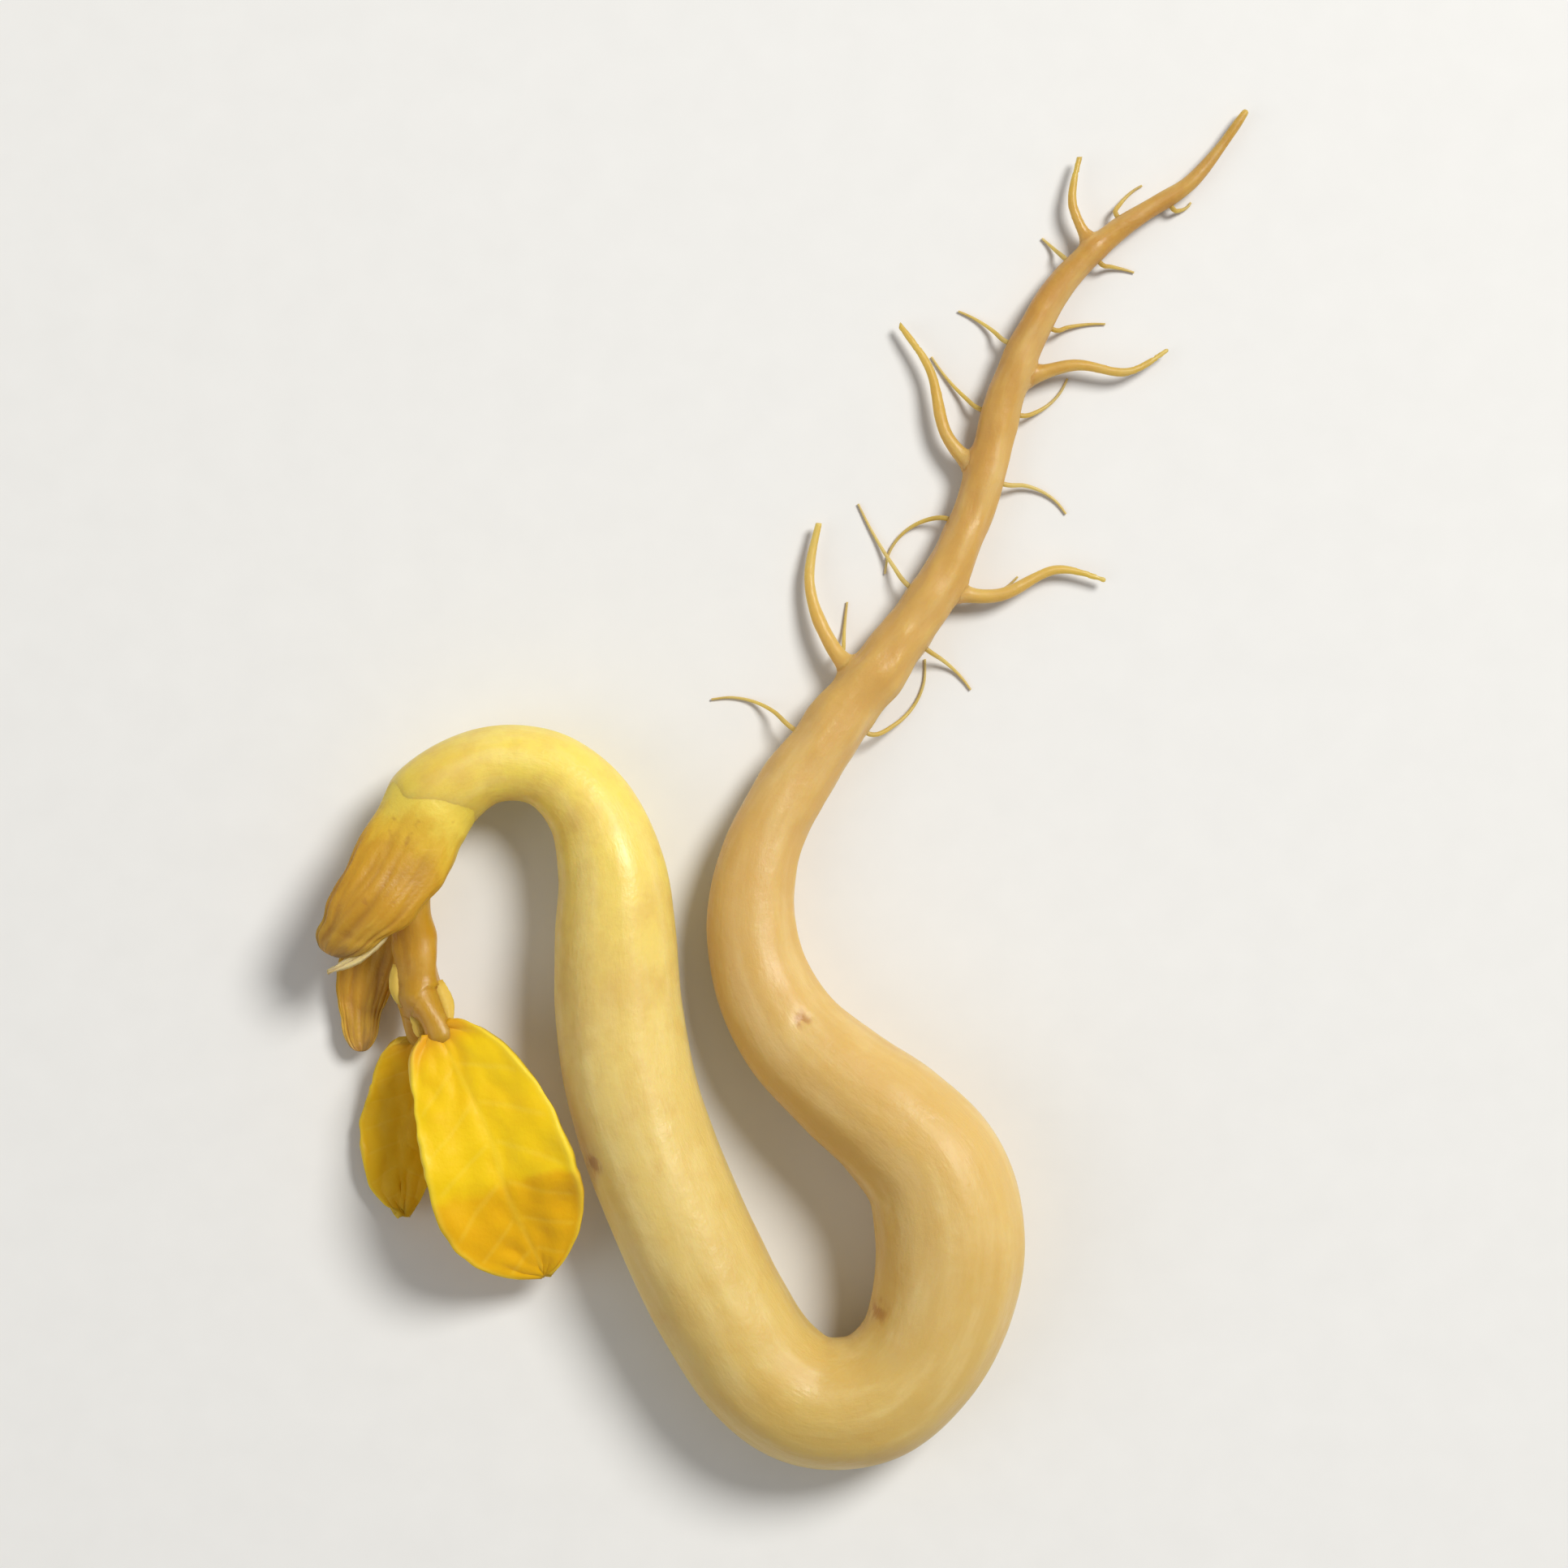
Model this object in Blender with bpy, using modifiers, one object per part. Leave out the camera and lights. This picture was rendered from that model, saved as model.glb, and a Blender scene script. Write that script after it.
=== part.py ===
"""Mung bean sprout, lying on its side: hooked stem with root, two withered seed halves and two leaves.

Metres, +Z up. The plan is drawn in millimetres, as seen from above, and stands on z = 0.
Run with: blender --background --python part.py
"""

import math

import bmesh
import bpy
from mathutils import Vector

MM = 0.001

# Driving dimensions, in millimetres
PLAN_CENTRE = (-0.29, 1.27)
STEM_STEP = 0.6
THIN_STEP = 0.45
WELD_DISTANCE = 0.01
BLADE_THICKNESS = 0.6
FLOOR_CUTTER_SIDE = 60.0

# How finely the shapes are divided
TUBE_SIDES_RESOLUTION = 4
CURVE_SAMPLES = 800
HEADING_STEP = 0.01
LEAF_ROWS = 22
LEAF_COLUMNS = 8
COTYLEDON_SEGMENTS = 20
COTYLEDON_RINGS = 16
SHARP_ANGLE = 50.0

# A tube's rounded ends: where closer stations stand, as shares of the end's radius, and the least
# roundness squared
END_SHARES = (0.06, 0.2, 0.45, 0.75)
LEAST_ROUNDNESS = 0.03

# A leaf's outline and its rise from the midrib
LEAF_FOOT_SHARE = 0.28
LEAF_TIP_SHARE = 0.10
LEAF_FOOT_BLUNTNESS = 0.26
LEAF_TIP_BLUNTNESS = 0.75
LEAF_CUP_POWER = 1.4
LEAF_EDGE_PHASE = 1.3

# A seed half's outline, its wrinkles and the depth of the side that faced the other half
COTYLEDON_BLUNTNESS = 0.75
COTYLEDON_TAPER = 0.28
COTYLEDON_WRINKLES = 7
COTYLEDON_WRINKLE_HEIGHT = 0.05
COTYLEDON_INNER_SHARE = 0.45

# The stem, from the end of its hook to the tip of its root: (x, y, clearance under it, diameter).
# A clearance below zero is a low point, which the floor flattens.
STEM_STATIONS = (
    (-9.10, -0.15, 0.55, 2.10),
    (-8.52, 0.84, 0.42, 2.14),
    (-7.26, 1.66, 0.55, 1.80),
    (-5.88, 1.60, 0.45, 1.80),
    (-4.82, 0.66, 0.30, 2.10),
    (-4.30, -0.80, 0.14, 2.50),
    (-4.22, -2.40, 0.00, 2.80),
    (-4.16, -4.00, -0.06, 2.95),
    (-3.92, -5.65, 0.00, 3.02),
    (-3.40, -7.40, 0.03, 3.10),
    (-2.54, -9.45, 0.04, 3.15),
    (-1.66, -11.20, 0.02, 3.14),
    (-0.74, -12.52, -0.02, 3.10),
    (0.44, -13.26, -0.06, 3.06),
    (1.84, -13.14, -0.03, 3.06),
    (2.90, -12.22, 0.00, 3.12),
    (3.48, -10.85, -0.03, 3.34),
    (3.66, -9.32, -0.06, 3.46),
    (3.30, -7.86, -0.02, 3.34),
    (2.30, -6.72, 0.02, 3.06),
    (1.06, -5.74, 0.02, 2.82),
    (-0.08, -4.62, -0.03, 2.56),
    (-0.80, -3.22, -0.05, 2.30),
    (-1.02, -1.62, 0.00, 2.08),
    (-0.70, -0.05, 0.04, 1.84),
    (0.12, 1.45, 0.06, 1.60),
    (1.26, 3.05, 0.07, 1.40),
    (2.56, 4.70, 0.06, 1.22),
    (3.74, 6.55, 0.03, 1.06),
    (4.52, 8.60, 0.03, 0.93),
    (5.10, 10.75, 0.08, 0.83),
    (6.10, 12.80, 0.12, 0.74),
    (7.62, 14.40, 0.10, 0.65),
    (9.44, 15.60, 0.05, 0.56),
    (10.76, 17.30, 0.05, 0.46),
)

# The stalk that carries the leaves, from inside the hook's end: (x, y, height of its axis, diameter)
STALK_STATIONS = (
    (-8.85, 0.25, 1.50, 1.00),
    (-9.12, -0.95, 1.46, 1.02),
    (-9.06, -2.10, 1.40, 1.02),
    (-8.94, -3.20, 1.38, 1.12),
    (-8.90, -4.20, 1.42, 1.00),
)
LEAF_STALKS = (
    ((-8.82, -3.50, 1.46, 0.72), (-8.54, -4.06, 1.68, 0.76), (-8.38, -4.60, 1.88, 0.62)),
    ((-8.90, -3.80, 1.34, 0.66), (-8.92, -4.40, 1.16, 0.64), (-8.86, -4.95, 1.00, 0.60)),
)

# Side roots: (x, y, height, diameter) of each point along one, the first inside the root
ROOTLETS = (
    (
        (1.90, 3.40, 0.75, 0.52),
        (0.90, 4.50, 0.62, 0.48),
        (0.35, 6.00, 0.40, 0.42),
        (0.60, 7.60, 0.34, 0.34),
    ),
    (
        (3.60, 5.80, 0.60, 0.50),
        (4.90, 5.75, 0.50, 0.46),
        (6.20, 6.35, 0.36, 0.38),
        (7.40, 6.10, 0.30, 0.32),
    ),
    (
        (4.60, 8.40, 0.50, 0.48),
        (3.60, 9.55, 0.50, 0.42),
        (3.20, 11.10, 0.45, 0.36),
        (2.40, 12.30, 0.30, 0.30),
    ),
    (
        (5.30, 10.80, 0.46, 0.46),
        (6.60, 11.20, 0.52, 0.40),
        (7.90, 11.05, 0.42, 0.34),
        (8.90, 11.60, 0.28, 0.30),
    ),
    (
        (7.20, 13.80, 0.42, 0.44),
        (6.60, 15.00, 0.48, 0.38),
        (6.80, 16.30, 0.34, 0.32),
    ),
)

# Seed halves: points along the middle (x, y, height), then the widest width and thickness
COTYLEDONS = {
    "cotyledon_upper": {
        "spine": ((-8.72, 0.30, 2.85), (-9.36, -0.76, 2.92), (-10.10, -1.88, 2.64), (-11.12, -3.00, 1.98)),
        "width": 2.45,
        "thickness": 1.05,
        "dome": 1.0,
    },
    "cotyledon_lower": {
        "spine": ((-9.35, -0.72, 0.55), (-9.90, -2.10, 0.50), (-10.28, -3.70, 0.48), (-10.30, -5.20, 0.52)),
        "width": 1.9,
        "thickness": 1.0,
        "dome": -1.0,
    },
}

# Leaves: points along the midrib (x, y, height), the widest half width and the share of the length
# where it lies, and how far the sides rise from the midrib
LEAVES = {
    "leaf_upper": {
        "midrib": (
            (-8.24, -4.98, 2.08),
            (-7.62, -5.86, 2.34),
            (-7.08, -7.06, 2.46),
            (-6.72, -8.28, 2.32),
            (-6.28, -9.38, 1.74),
            (-5.90, -10.32, 1.04),
        ),
        "half_width": 1.70,
        "widest": 0.62,
        "fold": 0.24,
        "wave": 0.06,
        "waves": 2.5,
    },
    "leaf_lower": {
        "midrib": (
            (-8.86, -5.40, 0.88),
            (-8.98, -6.05, 0.70),
            (-9.22, -7.00, 0.60),
            (-9.36, -8.00, 0.58),
            (-9.28, -9.00, 0.62),
        ),
        "half_width": 1.12,
        "widest": 0.46,
        "fold": -0.10,
        "wave": 0.06,
        "waves": 3.0,
    },
}

# Colours, from the photo, and how rough each skin is
CREAM = (0.86, 0.79, 0.56, 1.0)
TAN = (0.62, 0.42, 0.13, 1.0)
DULL_TAN = (0.55, 0.40, 0.15, 1.0)
BRIGHT_YELLOW = (0.90, 0.68, 0.04, 1.0)
GOLDEN_YELLOW = (0.75, 0.50, 0.02, 1.0)
STEM_ROUGHNESS = 0.35
COTYLEDON_ROUGHNESS = 0.55
LEAF_ROUGHNESS = 0.5


def clear_scene():
    for old in list(bpy.data.objects):
        bpy.data.objects.remove(old, do_unlink=True)


def new_collection(name):
    collection = bpy.data.collections.new(name)
    bpy.context.scene.collection.children.link(collection)
    return collection


def material(name, colour, roughness):
    made = bpy.data.materials.new(name)
    made.use_nodes = True
    shader = made.node_tree.nodes["Principled BSDF"]
    shader.inputs["Base Color"].default_value = colour
    shader.inputs["Roughness"].default_value = roughness
    shader.inputs["Metallic"].default_value = 0.0
    return made


def on_smooth_curve(points, position):
    """The point at position, from 0 to 1, of a smooth curve through the points, each a tuple of numbers."""
    spans = len(points) - 1
    span = min(int(position * spans), spans - 1)
    t = position * spans - span
    near = [points[min(max(span + shift, 0), spans)] for shift in (-1, 0, 1, 2)]
    return tuple(
        0.5 * (2 * b + (c - a) * t + (2 * a - 5 * b + 4 * c - d) * t**2 + (3 * b - a - 3 * c + d) * t**3)
        for a, b, c, d in zip(*near)
    )


def even_stations(points, step):
    """Points about a step apart along the smooth curve, with closer ones where both ends are rounded off."""
    fine = [on_smooth_curve(points, i / CURVE_SAMPLES) for i in range(CURVE_SAMPLES + 1)]
    travelled = [0.0]
    for here, there in zip(fine, fine[1:]):
        travelled.append(travelled[-1] + math.dist(here[:3], there[:3]))
    length = travelled[-1]
    count = max(4, round(length / step))
    wanted = [length * i / count for i in range(count + 1)]
    for end_radius, at in ((fine[0][3] / 2, 0.0), (fine[-1][3] / 2, length)):
        inward = 1 if at == 0.0 else -1
        wanted += [at + inward * end_radius * share for share in END_SHARES]
    wanted.sort()
    found = []
    place = 0
    for distance in wanted:
        while place < len(travelled) - 2 and travelled[place + 1] < distance:
            place += 1
        part = (distance - travelled[place]) / (travelled[place + 1] - travelled[place])
        here, there = fine[place], fine[place + 1]
        x, y, z, diameter = (a + (b - a) * part for a, b in zip(here, there))
        rounding = 1.0
        for end_radius, gone in ((fine[0][3] / 2, distance), (fine[-1][3] / 2, length - distance)):
            if gone < end_radius:
                rounding = min(rounding, math.sqrt(max(LEAST_ROUNDNESS, 1 - (1 - gone / end_radius) ** 2)))
        found.append((x, y, z, diameter * rounding))
    return found


def tube(name, points, step, collection):
    """A closed tube of changing diameter, made a mesh from a bevelled curve."""
    curve = bpy.data.curves.new(name, "CURVE")
    curve.dimensions = "3D"
    curve.bevel_depth = MM
    curve.bevel_resolution = TUBE_SIDES_RESOLUTION
    curve.use_fill_caps = True
    stations = even_stations(points, step)
    spline = curve.splines.new("POLY")
    spline.points.add(len(stations) - 1)
    for point, (x, y, z, diameter) in zip(spline.points, stations):
        point.co = (x * MM, y * MM, z * MM, 1.0)
        point.radius = diameter / 2
    drawn = bpy.data.objects.new(name, curve)
    collection.objects.link(drawn)
    bpy.context.view_layer.update()
    evaluated = drawn.evaluated_get(bpy.context.evaluated_depsgraph_get())
    mesh = bpy.data.meshes.new_from_object(evaluated)
    made = bpy.data.objects.new(name + "_mesh", mesh)
    made.matrix_world = drawn.matrix_world
    bpy.data.objects.remove(drawn, do_unlink=True)
    collection.objects.link(made)
    weld(mesh)
    return made


def weld(mesh):
    """Joins a tube's caps to its wall and turns its faces out."""
    edit = bmesh.new()
    edit.from_mesh(mesh)
    bmesh.ops.remove_doubles(edit, verts=edit.verts, dist=WELD_DISTANCE * MM)
    if edit.calc_volume(signed=True) < 0:
        bmesh.ops.reverse_faces(edit, faces=edit.faces)
    edit.to_mesh(mesh)
    edit.free()


def shade_round(mesh):
    mesh.shade_smooth()
    mesh.set_sharp_from_angle(angle=math.radians(SHARP_ANGLE))


def apply_modifiers(thing):
    """Puts the evaluated shape in the object's own mesh and removes its modifiers."""
    evaluated = thing.evaluated_get(bpy.context.evaluated_depsgraph_get())
    mesh = bpy.data.meshes.new_from_object(evaluated)
    thing.modifiers.clear()
    thing.data = mesh


def floor_cutter(collection):
    """A block whose top is the surface that the sprout lies on."""
    bpy.ops.mesh.primitive_cube_add(size=FLOOR_CUTTER_SIDE * MM)
    block = bpy.context.object
    block.name = "floor_cutter"
    block.location = (0, 0, -FLOOR_CUTTER_SIDE / 2 * MM)
    block.hide_render = True
    block.display_type = "WIRE"
    for holder in list(block.users_collection):
        holder.objects.unlink(block)
    collection.objects.link(block)
    return block


def stem_and_root(parts, cutters):
    """Stem, hook, leaf stalks, root and side roots, grown as one body."""
    axis = [(x, y, clear + diameter / 2, diameter) for x, y, clear, diameter in STEM_STATIONS]
    body = tube("stem_and_root", axis, STEM_STEP, parts)
    body.name = "stem_and_root"
    branches = new_collection("branches")
    for number, points in enumerate((STALK_STATIONS, *LEAF_STALKS, *ROOTLETS)):
        tube(f"branch_{number}", points, THIN_STEP, branches)
    union = body.modifiers.new("grown together", "BOOLEAN")
    union.operation = "UNION"
    union.operand_type = "COLLECTION"
    union.collection = branches
    union.solver = "EXACT"
    apply_modifiers(body)
    for branch in list(branches.objects):
        bpy.data.objects.remove(branch, do_unlink=True)
    bpy.data.collections.remove(branches)
    cut = body.modifiers.new("flat where it rests", "BOOLEAN")
    cut.operation = "DIFFERENCE"
    cut.object = floor_cutter(cutters)
    cut.solver = "EXACT"
    apply_modifiers(body)
    shade_round(body.data)
    body.data.materials.clear()
    body.data.materials.append(material("cream stem", CREAM, STEM_ROUGHNESS))
    return body


def frame_at(spine, position):
    """Where the spine is at position, its heading, and the level direction across it."""
    here = Vector(on_smooth_curve(spine, position))
    before = Vector(on_smooth_curve(spine, max(0.0, position - HEADING_STEP)))
    after = Vector(on_smooth_curve(spine, min(1.0, position + HEADING_STEP)))
    ahead = (after - before).normalized()
    across = ahead.cross(Vector((0, 0, 1))).normalized()
    return here, ahead, across


def cotyledon(name, spine, width, thickness, dome, colour, collection):
    """A withered seed half with lengthwise wrinkles: domed outside, flatter where it faced the other half."""
    mesh = bpy.data.meshes.new(name)
    edit = bmesh.new()
    bmesh.ops.create_uvsphere(edit, u_segments=COTYLEDON_SEGMENTS, v_segments=COTYLEDON_RINGS, radius=1.0)
    for vert in edit.verts:
        position = 0.5 - 0.5 * vert.co.z
        here, ahead, across = frame_at(spine, position)
        upward = across.cross(ahead)
        around = math.atan2(vert.co.y, vert.co.x)
        reach = math.sqrt(max(0.0, 1 - vert.co.z**2))
        blunt = reach**COTYLEDON_BLUNTNESS * (1.0 - COTYLEDON_TAPER * position)
        wrinkle = 1 + COTYLEDON_WRINKLE_HEIGHT * math.sin(COTYLEDON_WRINKLES * around) * reach
        side = math.cos(around) * blunt * width / 2 * wrinkle
        height = math.sin(around) * blunt * thickness / 2 * wrinkle
        if height * dome < 0:
            height *= COTYLEDON_INNER_SHARE
        vert.co = (here + across * side + upward * height) * MM
    edit.to_mesh(mesh)
    edit.free()
    shade_round(mesh)
    mesh.materials.append(material(name.replace("_", " "), colour, COTYLEDON_ROUGHNESS))
    made = bpy.data.objects.new(name, mesh)
    collection.objects.link(made)
    return made


def leaf_outline(position, widest):
    """Share of the widest half width at a position from the leaf's foot, 0, to its tip, 1."""
    ends = LEAF_FOOT_SHARE * (1 - position) + LEAF_TIP_SHARE * position
    halfway = math.log(0.5) / math.log(widest)
    bluntness = LEAF_FOOT_BLUNTNESS if position < widest else LEAF_TIP_BLUNTNESS
    return max(ends, math.sin(math.pi * position**halfway) ** bluntness)


def leaf(name, midrib, half_width, widest, fold, wave, waves, colour, collection):
    """A first leaf with a fold at its midrib and a waved edge, in triangles alike on both faces."""
    mesh = bpy.data.meshes.new(name)
    edit = bmesh.new()
    bmesh.ops.create_grid(edit, x_segments=LEAF_ROWS, y_segments=LEAF_COLUMNS, size=1.0)
    for vert in edit.verts:
        position = 0.5 + 0.5 * vert.co.x
        out = vert.co.y
        here, ahead, across = frame_at(midrib, position)
        upward = across.cross(ahead)
        reach = leaf_outline(position, widest) * half_width
        phase = math.copysign(LEAF_EDGE_PHASE, out)
        ripple = wave * math.sin(2 * math.pi * waves * position + phase) * out**2
        rise = fold * abs(out) ** LEAF_CUP_POWER * reach / half_width + ripple
        vert.co = (here + across * out * reach + upward * rise) * MM
    bmesh.ops.triangulate(edit, faces=edit.faces)
    edit.to_mesh(mesh)
    edit.free()
    made = bpy.data.objects.new(name, mesh)
    collection.objects.link(made)
    blade = made.modifiers.new("blade", "SOLIDIFY")
    blade.thickness = BLADE_THICKNESS * MM
    blade.offset = 0.0
    mesh.materials.append(material(name.replace("_", " "), colour, LEAF_ROUGHNESS))
    return made


def build():
    clear_scene()
    parts = new_collection("mung_bean_sprout")
    cutters = new_collection("cutters")
    stem = stem_and_root(parts, cutters)
    pieces = [stem]
    for (name, shape), colour in zip(COTYLEDONS.items(), (TAN, DULL_TAN)):
        pieces.append(cotyledon(name, colour=colour, collection=parts, **shape))
    for (name, shape), colour in zip(LEAVES.items(), (BRIGHT_YELLOW, GOLDEN_YELLOW)):
        pieces.append(leaf(name, colour=colour, collection=parts, **shape))
    plan = bpy.data.objects.new("plan", None)
    parts.objects.link(plan)
    plan.location = (-PLAN_CENTRE[0] * MM, -PLAN_CENTRE[1] * MM, 0.0)
    for piece in pieces:
        piece.parent = plan
    bpy.context.view_layer.update()


build()
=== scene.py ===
# %% [markdown]
# # Dressing a mung bean sprout
#
# The sprout lies on its side: a hooked stem with a curl in it, a root that tapers away with side roots,
# two withered halves of the bean it grew from, and two yellow first leaves on a short stalk. The packed
# CAD model gives every place and size. This lesson models each piece again in fine detail around it, and
# paints each one with a material that is built from nodes. We start by loading the frame, and by keeping
# its box, which places the camera at the end.

# %% Load the frame and keep its box
import math

import bpy
import numpy as np
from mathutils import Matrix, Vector, kdtree, noise


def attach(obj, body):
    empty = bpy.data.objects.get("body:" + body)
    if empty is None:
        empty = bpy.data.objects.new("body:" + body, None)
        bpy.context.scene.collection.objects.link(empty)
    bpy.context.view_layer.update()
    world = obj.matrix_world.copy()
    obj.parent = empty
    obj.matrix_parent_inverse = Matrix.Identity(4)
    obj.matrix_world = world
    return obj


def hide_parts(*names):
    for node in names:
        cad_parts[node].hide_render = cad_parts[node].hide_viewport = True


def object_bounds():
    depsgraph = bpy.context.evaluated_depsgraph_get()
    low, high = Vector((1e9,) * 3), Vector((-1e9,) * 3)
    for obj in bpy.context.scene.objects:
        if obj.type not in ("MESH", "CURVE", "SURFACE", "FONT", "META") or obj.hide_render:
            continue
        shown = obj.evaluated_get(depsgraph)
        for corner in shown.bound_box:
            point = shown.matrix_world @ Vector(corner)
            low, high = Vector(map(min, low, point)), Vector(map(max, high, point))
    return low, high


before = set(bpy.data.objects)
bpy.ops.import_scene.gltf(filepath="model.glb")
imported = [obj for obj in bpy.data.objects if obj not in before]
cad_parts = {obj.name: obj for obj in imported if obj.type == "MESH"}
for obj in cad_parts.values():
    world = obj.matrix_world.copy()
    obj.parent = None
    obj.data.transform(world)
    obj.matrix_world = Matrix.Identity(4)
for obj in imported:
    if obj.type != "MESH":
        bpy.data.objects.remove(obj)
cad_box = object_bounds()

# %% [markdown]
# ## Working units
#
# A sprout is drawn most easily in millimetres, while Blender's unit here is the metre. The route of the
# stem is drawn in the same plan as the CAD model's, so one shift brings it to the middle of the frame.
# Two small helpers select one object by itself, because operators act on whatever is selected, and apply
# a modifier by name.

# %% Millimetres, the plan's shift and two helpers
MM = 0.001
PLAN_SHIFT = (0.29, -1.27, 0.0)


def only(thing):
    """Selects one object alone and makes it active."""
    bpy.ops.object.select_all(action="DESELECT")
    thing.select_set(True)
    bpy.context.view_layer.objects.active = thing
    return thing


def finish_with(thing, kind, **settings):
    """Adds one modifier, sets it and applies it."""
    only(thing)
    bpy.ops.object.modifier_add(type=kind)
    modifier = thing.modifiers[-1]
    for name, value in settings.items():
        setattr(modifier, name, value)
    bpy.ops.object.modifier_apply(modifier=modifier.name)


print("one plan millimetre is", MM, "m; the plan shifts by", PLAN_SHIFT, "mm")

# %% [markdown]
# ## The route of the stem
#
# The real stem is one soft column that grew in the dark under a weight: thin and bent over in a hook at
# the top, three millimetres thick below, curled once, and thinning into a root. It could be sculpted,
# but a route of stations with a diameter at each is easier to check against the CAD model, so we repeat
# its stations here. Between them a smooth curve passes through every station.

# %% The stations of the stem and a smooth route through stations
STEM = (  # x, y, clearance under it, diameter, from the end of the hook to the tip of the root
    (-9.10, -0.15, 0.55, 2.10), (-8.52, 0.84, 0.42, 2.14), (-7.26, 1.66, 0.55, 1.80),
    (-5.88, 1.60, 0.45, 1.80), (-4.82, 0.66, 0.30, 2.10), (-4.30, -0.80, 0.14, 2.50),
    (-4.22, -2.40, 0.00, 2.80), (-4.16, -4.00, -0.06, 2.95), (-3.92, -5.65, 0.00, 3.02),
    (-3.40, -7.40, 0.03, 3.10), (-2.54, -9.45, 0.04, 3.15), (-1.66, -11.20, 0.02, 3.14),
    (-0.74, -12.52, -0.02, 3.10), (0.44, -13.26, -0.06, 3.06), (1.84, -13.14, -0.03, 3.06),
    (2.90, -12.22, 0.00, 3.12), (3.48, -10.85, -0.03, 3.34), (3.66, -9.32, -0.06, 3.46),
    (3.30, -7.86, -0.02, 3.34), (2.30, -6.72, 0.02, 3.06), (1.06, -5.74, 0.02, 2.82),
    (-0.08, -4.62, -0.03, 2.56), (-0.80, -3.22, -0.05, 2.30), (-1.02, -1.62, 0.00, 2.08),
    (-0.70, -0.05, 0.04, 1.84), (0.12, 1.45, 0.06, 1.60), (1.26, 3.05, 0.07, 1.40),
    (2.56, 4.70, 0.06, 1.22), (3.74, 6.55, 0.03, 1.06), (4.52, 8.60, 0.03, 0.93),
    (5.10, 10.75, 0.08, 0.83), (6.10, 12.80, 0.12, 0.74), (7.62, 14.40, 0.10, 0.65),
    (9.44, 15.60, 0.05, 0.56), (10.76, 17.30, 0.05, 0.46),
)
STEM_AXIS = [(x, y, clear + diameter / 2, diameter) for x, y, clear, diameter in STEM]
ROUTE_STEP = 0.02


def smooth_route(stations, step=ROUTE_STEP):
    """Rows about a step apart on a smooth curve through the stations, moved from the plan to the frame."""
    rows = np.array(stations, float)
    rows[:, :3] += PLAN_SHIFT
    ends = np.vstack([rows[:1], rows, rows[-1:]])
    t = np.linspace(0, 1, 60, endpoint=False)[:, None]
    fine = []
    for a, b, c, d in zip(ends, ends[1:], ends[2:], ends[3:]):
        curved = (2 * a - 5 * b + 4 * c - d) * t**2 + (3 * b - a - 3 * c + d) * t**3
        fine.append(0.5 * (2 * b + (c - a) * t + curved))
    fine = np.vstack([*fine, rows[-1:]])
    travelled = np.append(0.0, np.cumsum(np.linalg.norm(np.diff(fine[:, :3], axis=0), axis=1)))
    wanted = np.linspace(0, travelled[-1], max(8, round(travelled[-1] / step)) + 1)
    return np.column_stack([np.interp(wanted, travelled, column) for column in fine.T]), wanted


stem_route, stem_along = smooth_route(STEM_AXIS)
print("stem and root along the curve:", round(stem_along[-1], 1), "mm")

# %% [markdown]
# ## The branches
#
# Three kinds of branch leave that column: the stalk in the hook that carries the leaves, two short leaf
# stalks, and side roots. Each is one more row of stations. The upper leaf stalk runs on a little way into
# its blade, where a real one becomes the midrib. For the colours we also note where each branch leaves
# the stem, as a distance along it, so that a side root is as brown as the root it grows from. A living
# root ends in a fine point, so the last few millimetres of every root are thinned.

# %% The stations of the stalk, the leaf stalks and the side roots
STALK = (
    (-8.85, 0.25, 1.50, 1.00), (-9.12, -0.95, 1.46, 1.02), (-9.06, -2.10, 1.40, 1.02),
    (-8.94, -3.20, 1.38, 1.12), (-8.90, -4.20, 1.42, 1.00),
)
LEAF_STALKS = (
    ((-8.82, -3.50, 1.46, 0.72), (-8.54, -4.06, 1.68, 0.76),
     (-8.38, -4.60, 1.88, 0.62), (-8.30, -4.86, 1.98, 0.46)),
    ((-8.90, -3.80, 1.34, 0.66), (-8.92, -4.40, 1.16, 0.64), (-8.86, -4.95, 1.00, 0.60)),
)
SIDE_ROOTS = (
    ((1.90, 3.40, 0.75, 0.52), (0.90, 4.50, 0.62, 0.48),
     (0.35, 6.00, 0.40, 0.42), (0.60, 7.60, 0.34, 0.34)),
    ((3.60, 5.80, 0.60, 0.50), (4.90, 5.75, 0.50, 0.46),
     (6.20, 6.35, 0.36, 0.38), (7.40, 6.10, 0.30, 0.32)),
    ((4.60, 8.40, 0.50, 0.48), (3.60, 9.55, 0.50, 0.42),
     (3.20, 11.10, 0.45, 0.36), (2.40, 12.30, 0.30, 0.30)),
    ((5.30, 10.80, 0.46, 0.46), (6.60, 11.20, 0.52, 0.40),
     (7.90, 11.05, 0.42, 0.34), (8.90, 11.60, 0.28, 0.30)),
    ((7.20, 13.80, 0.42, 0.44), (6.60, 15.00, 0.48, 0.38), (6.80, 16.30, 0.34, 0.32)),
)
STEM_KIND, STALK_KIND, ROOT_KIND = 0, 1, 2
SIDE_ROOT_SLIMNESS = 0.82  # the share of the CAD model's diameter that a side root has


def thin_the_tip(route, over, least):
    """Narrows the last millimetres of a route down to a least share of its diameter."""
    left = np.arange(len(route))[::-1] * ROUTE_STEP
    route[:, 3] *= least + (1 - least) * np.minimum(1, left / over) ** 0.7


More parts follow.
